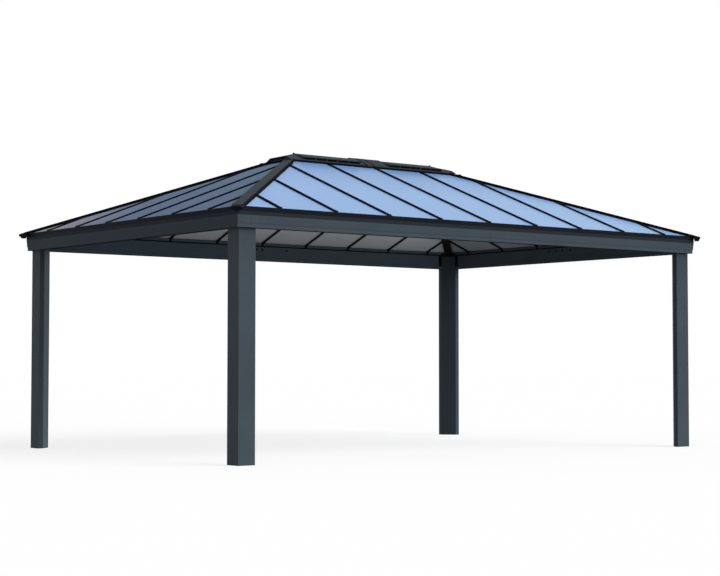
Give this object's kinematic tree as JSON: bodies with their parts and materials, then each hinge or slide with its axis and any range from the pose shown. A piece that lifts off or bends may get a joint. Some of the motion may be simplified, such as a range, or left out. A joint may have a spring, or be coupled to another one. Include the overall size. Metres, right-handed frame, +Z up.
{
  "type": "hardtop gazebo",
  "caption": "Open rectangular hardtop gazebo: corner posts, gutter beams, hip roof of translucent sheets between dark ribs, and a raised slotted ridge vent.",
  "frame": {"origin": "centre of the four feet's outline, on the floor", "axes": "+X along the long side, +Y along the short side, +Z up"},
  "size_m": [6.105, 4.253, 3.0992],
  "materials": {
    "frame_metal": "powder coated, fine satin",
    "trim_metal": "powder coated, fine satin",
    "rib_metal": "powder coated, satin",
    "cap_grey": "powder coated, matt",
    "black_moulding": "moulded, matt",
    "roof_sheet": "translucent grey sheet, gloss outside"
  },
  "bodies": {
    "root": {"post_front_right": "frame_metal", "beam_corner_front_right": "frame_metal", "hip_rafter_front_right": "rib_metal", "hip_cap_front_right": "cap_grey", "post_back_right": "frame_metal", "beam_corner_back_right": "frame_metal", "hip_rafter_back_right": "rib_metal", "hip_cap_back_right": "cap_grey", "post_back_left": "frame_metal", "beam_corner_back_left": "frame_metal", "hip_rafter_back_left": "rib_metal", "hip_cap_back_left": "cap_grey", "post_front_left": "frame_metal", "beam_corner_front_left": "frame_metal", "hip_rafter_front_left": "rib_metal", "hip_cap_front_left": "cap_grey", "foot_plates": "frame_metal", "post_brackets": "rib_metal", "hip_bars": "rib_metal", "hip_end_caps": "black_moulding", "gutter_beam_front_west": "frame_metal", "gutter_beam_front_east": "frame_metal", "gutter_beam_back_west": "frame_metal", "gutter_beam_back_east": "frame_metal", "gutter_beam_left": "frame_metal", "gutter_beam_right": "frame_metal", "eave_trim_front": "trim_metal", "ribs_front": "rib_metal", "roof_sheets_front": "roof_sheet", "eave_trim_right": "trim_metal", "ribs_right": "rib_metal", "roof_sheets_right": "roof_sheet", "eave_trim_back": "trim_metal", "ribs_back": "rib_metal", "roof_sheets_back": "roof_sheet", "eave_trim_left": "trim_metal", "ribs_left": "rib_metal", "roof_sheets_left": "roof_sheet", "vent_curb": "rib_metal", "vent_middle": "cap_grey", "vent_end_left": "cap_grey", "vent_end_right": "cap_grey", "vent_louvre_left": "cap_grey", "vent_louvre_right": "cap_grey"}
  },
  "joints": []
}
